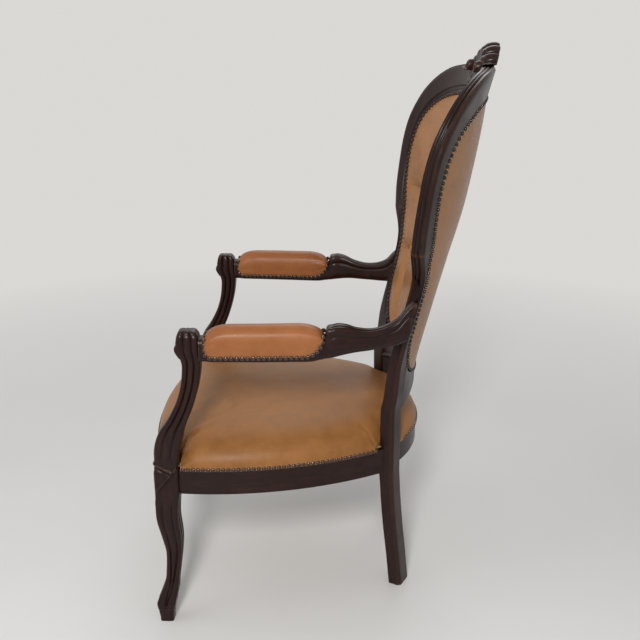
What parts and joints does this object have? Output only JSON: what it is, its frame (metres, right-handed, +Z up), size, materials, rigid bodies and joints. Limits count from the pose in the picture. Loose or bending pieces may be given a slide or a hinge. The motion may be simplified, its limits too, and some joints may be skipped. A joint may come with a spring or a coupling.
{
  "type": "upholstered armchair",
  "caption": "Carved armchair for one sitter with cabriole front legs, padded open arms, crowned leather seat and buttoned oval back in a moulded wood frame.",
  "frame": {"origin": "centre of the footprint at floor level", "axes": "+Z up; the chair faces -Y; +X is the sitter's left"},
  "size_m": [0.625, 0.7103, 1.14],
  "materials": {
    "mahogany": "dark brown stain, rubbed satin polish",
    "seat_leather": "tan leather, lightly mottled, satin",
    "back_leather": "tan leather, lightly mottled, satin",
    "arm_leather": "orange tan leather, satin",
    "nail_brass": "antiqued dark bronze",
    "screw_steel": "plain",
    "beech": "bare, sawn and planed",
    "jute": "woven, unbleached",
    "linen": "woven, unbleached"
  },
  "bodies": {
    "root": {"front_leg_left": "mahogany", "front_leg_right": "mahogany", "rear_stile_left": "mahogany", "rear_stile_right": "mahogany", "front_seat_rail": "mahogany", "side_seat_rail_left": "mahogany", "side_seat_rail_right": "mahogany", "rear_seat_rail": "mahogany", "front_corner_blocks": "beech", "rear_corner_blocks": "beech", "corner_block_screws": "screw_steel", "seat_rail_dowels": "beech", "back_bottom_rail": "mahogany", "back_top_rail": "mahogany", "crest_carving": "mahogany", "back_frame_dowels": "beech", "arm_support_left": "mahogany", "arm_support_right": "mahogany", "arm_left": "mahogany", "arm_right": "mahogany", "arm_dowels": "beech", "seat_webbing_lengthwise": "jute", "seat_webbing_crosswise": "jute", "seat_hessian": "jute", "seat_stuffing": "linen", "seat_cover": "seat_leather", "seat_nails": "nail_brass", "back_webbing_upright": "jute", "back_webbing_level": "jute", "back_stuffing": "linen", "back_cover_front": "back_leather", "back_buttons": "back_leather", "back_nails_front": "nail_brass", "back_lining": "linen", "back_cover_rear": "back_leather", "back_nails_rear": "nail_brass", "arm_pad_stuffing_left": "linen", "arm_pad_stuffing_right": "linen", "arm_pad_cover_left": "arm_leather", "arm_pad_cover_right": "arm_leather", "arm_nails_left": "nail_brass", "arm_nails_right": "nail_brass"}
  },
  "joints": []
}
